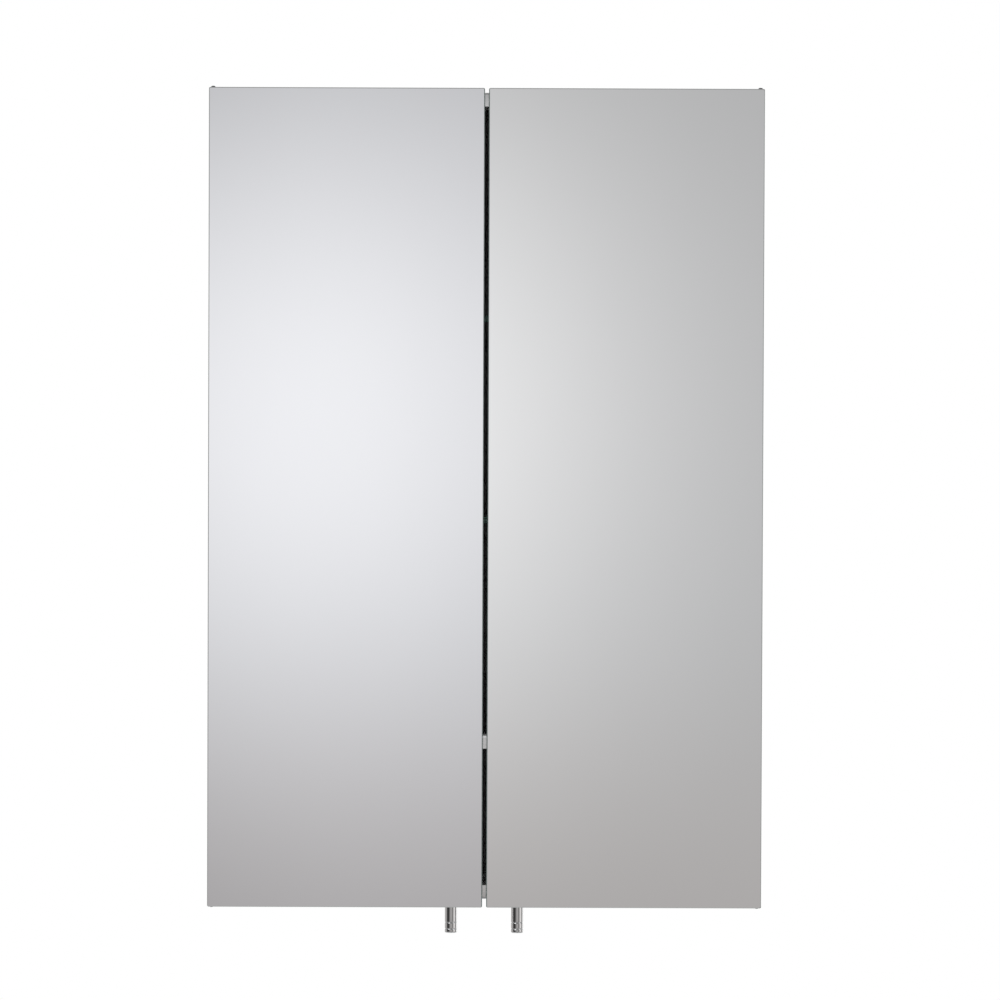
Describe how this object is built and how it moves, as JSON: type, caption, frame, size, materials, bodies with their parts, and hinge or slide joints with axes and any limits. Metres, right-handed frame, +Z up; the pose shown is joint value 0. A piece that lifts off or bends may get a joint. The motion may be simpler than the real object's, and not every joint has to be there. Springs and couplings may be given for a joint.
{
  "type": "mirrored medicine cabinet",
  "caption": "Tall shallow wall-hung steel bathroom cabinet with twin frameless mirrored doors on corner pivots, short round pulls below the doors, and glass shelves inside.",
  "frame": {"origin": "centre of the cabinet's back face, on the wall", "axes": "+Y into the wall, +Z up, +X to the right as seen from the front; the doors face -Y"},
  "size_m": [0.4386, 0.12, 0.6701],
  "materials": {
    "stainless": "fine vertical brushed grain",
    "mirror_glass": "silvered float glass with polished edges",
    "shelf_glass": "clear float glass with ground edges",
    "chrome": "bright chrome plate",
    "plated_steel": "bright zinc plate",
    "nylon": "natural white nylon, fine matt",
    "catch_plastic": "light grey moulded plastic",
    "magnet": "ground ferrite with steel pole faces",
    "foam_tape": "closed-cell foam tape",
    "buffer": "soft clear bumper"
  },
  "bodies": {
    "cabinet": {"side_panel_left": "stainless", "side_panel_right": "stainless", "top_panel": "stainless", "bottom_panel": "stainless", "back_panel": "stainless", "fixed_shelf": "stainless", "shelf_rail_left_front": "stainless", "shelf_rail_left_rear": "stainless", "shelf_rail_right_front": "stainless", "shelf_rail_right_rear": "stainless", "glass_shelf_lower": "shelf_glass", "glass_shelf_upper": "shelf_glass", "shelf_peg_lower_left_front": "nylon", "shelf_peg_lower_left_rear": "nylon", "shelf_peg_lower_right_front": "nylon", "shelf_peg_lower_right_rear": "nylon", "shelf_peg_upper_left_front": "nylon", "shelf_peg_upper_left_rear": "nylon", "shelf_peg_upper_right_front": "nylon", "shelf_peg_upper_right_rear": "nylon", "hinge_plate_top_left": "plated_steel", "hinge_plate_top_right": "plated_steel", "hinge_plate_bottom_left": "plated_steel", "hinge_plate_bottom_right": "plated_steel", "hinge_pin_top_left": "plated_steel", "hinge_pin_top_right": "plated_steel", "hinge_pin_bottom_left": "plated_steel", "hinge_pin_bottom_right": "plated_steel", "hinge_rivet_top_left_1": "plated_steel", "hinge_rivet_top_left_2": "plated_steel", "hinge_rivet_top_right_1": "plated_steel", "hinge_rivet_top_right_2": "plated_steel", "hinge_rivet_bottom_left_1": "plated_steel", "hinge_rivet_bottom_left_2": "plated_steel", "hinge_rivet_bottom_right_1": "plated_steel", "hinge_rivet_bottom_right_2": "plated_steel", "catch_housing": "catch_plastic", "catch_screw": "plated_steel", "magnet_left": "magnet", "magnet_right": "magnet"},
    "left_door": {"mirror_left": "mirror_glass", "mirror_tape_left": "foam_tape", "door_pan_left": "stainless", "door_liner_left": "stainless", "hinge_bush_top_left": "nylon", "hinge_bush_bottom_left": "nylon", "pull_left": "chrome", "pull_screw_left": "plated_steel", "buffer_top_left": "buffer", "buffer_bottom_left": "buffer"},
    "right_door": {"mirror_right": "mirror_glass", "mirror_tape_right": "foam_tape", "door_pan_right": "stainless", "door_liner_right": "stainless", "hinge_bush_top_right": "nylon", "hinge_bush_bottom_right": "nylon", "pull_right": "chrome", "pull_screw_right": "plated_steel", "buffer_top_right": "buffer", "buffer_bottom_right": "buffer"}
  },
  "joints": [
    {"name": "left_door_hinge", "type": "hinge", "parent": "cabinet", "child": "left_door", "pos_m": [-0.2163, -0.108, 0], "axis": [0, 0, -1], "range_deg": [0, 110]},
    {"name": "right_door_hinge", "type": "hinge", "parent": "cabinet", "child": "right_door", "pos_m": [0.2163, -0.108, 0], "axis": [0, 0, 1], "range_deg": [0, 110]}
  ]
}
